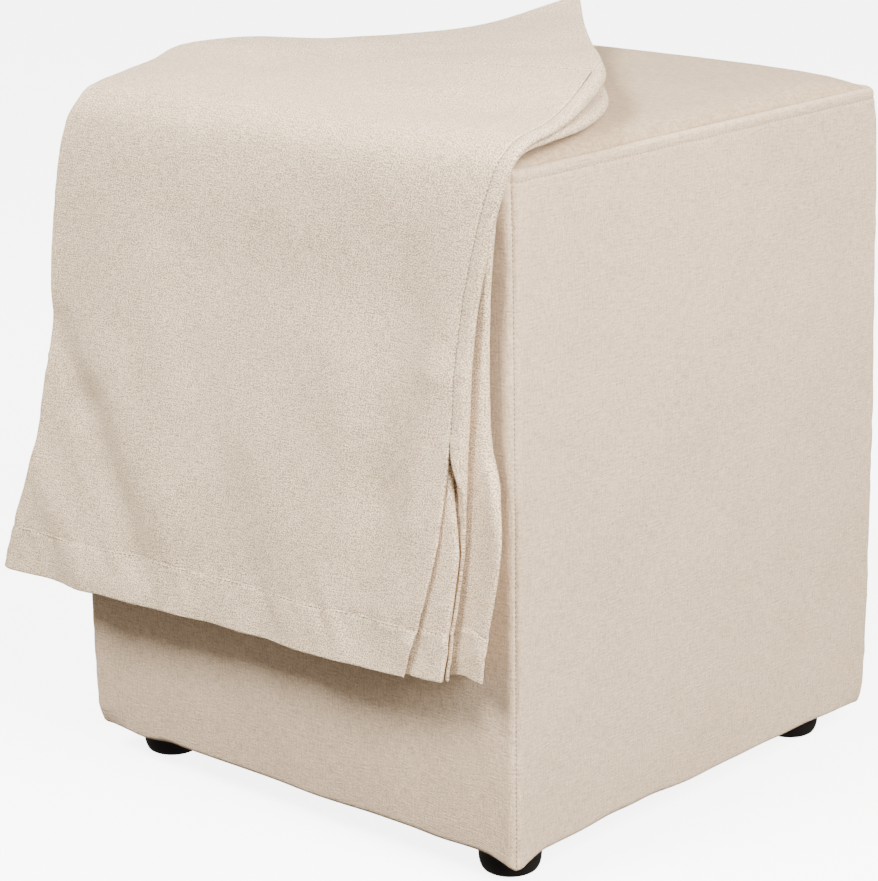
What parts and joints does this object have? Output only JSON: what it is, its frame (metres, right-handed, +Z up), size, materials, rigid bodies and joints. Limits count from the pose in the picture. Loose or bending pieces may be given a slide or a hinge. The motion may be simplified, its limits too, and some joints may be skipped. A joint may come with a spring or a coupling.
{
  "type": "cube pouf stool with draped loose cover",
  "caption": "Upholstered cube pouf stool on short round glides, with a matching loose cover folded flat and draped over its front top edge.",
  "frame": {"origin": "on the floor, under the middle of the whole object's outline, stool and cover together", "axes": "+Z up, -Y towards the side that the cover hangs over, +X towards the cover's sewn right edge"},
  "size_m": [0.4314, 0.4148, 0.4909],
  "materials": {
    "upholstery": "plain linen-look weave, beige, matt",
    "cover_cloth": "the same weave, washed and loose, matt",
    "glide": "moulded black plastic"
  },
  "bodies": {
    "root": {"stool_body": "upholstery", "stool_top_panel": "upholstery", "stool_foot_front_left": "glide", "stool_foot_front_right": "glide", "stool_foot_rear_left": "glide", "stool_foot_rear_right": "glide", "cover_front_panel": "cover_cloth", "cover_right_side_panel": "cover_cloth", "cover_left_side_panel": "cover_cloth", "cover_back_panel": "cover_cloth", "cover_top_panel": "cover_cloth", "cover_backing_front_right": "cover_cloth", "cover_backing_front_left": "cover_cloth", "cover_backing_rear_right": "cover_cloth", "cover_backing_rear_left": "cover_cloth"}
  },
  "joints": []
}
